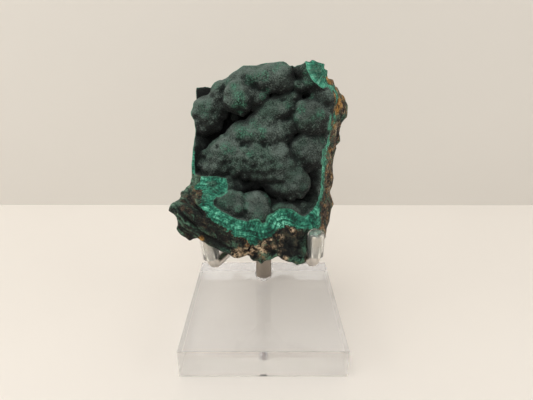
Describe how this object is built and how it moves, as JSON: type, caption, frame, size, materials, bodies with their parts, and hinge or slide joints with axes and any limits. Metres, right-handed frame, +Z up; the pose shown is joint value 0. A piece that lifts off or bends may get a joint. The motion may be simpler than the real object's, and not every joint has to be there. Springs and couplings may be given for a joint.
{
  "type": "malachite specimen on acrylic display stand",
  "caption": "Botryoidal malachite in a rock cavity with a bright banded broken rim, held on a clear square block by a metal post, bent rod arms and clear sleeves.",
  "frame": {"origin": "centre of the acrylic base's underside", "axes": "+Z up, -Y towards the front, where the cavity of the stone opens"},
  "size_m": [0.0517, 0.0508, 0.0893],
  "materials": {
    "malachite_specimen": "dark velvety green botryoidal skin, bright banded green on broken edges, brown and orange matrix",
    "acrylic": "clear, polished edges",
    "post_steel": "satin",
    "arm_steel": "polished",
    "clear_sleeve": "clear soft vinyl"
  },
  "bodies": {
    "root": {"malachite_specimen": "malachite_specimen", "acrylic_base": "acrylic", "post": "post_steel", "arm_front_left": "arm_steel", "arm_front_right": "arm_steel", "arm_rear": "arm_steel", "sleeve_front_left": "clear_sleeve", "sleeve_front_right": "clear_sleeve", "sleeve_rear": "clear_sleeve"}
  },
  "joints": []
}
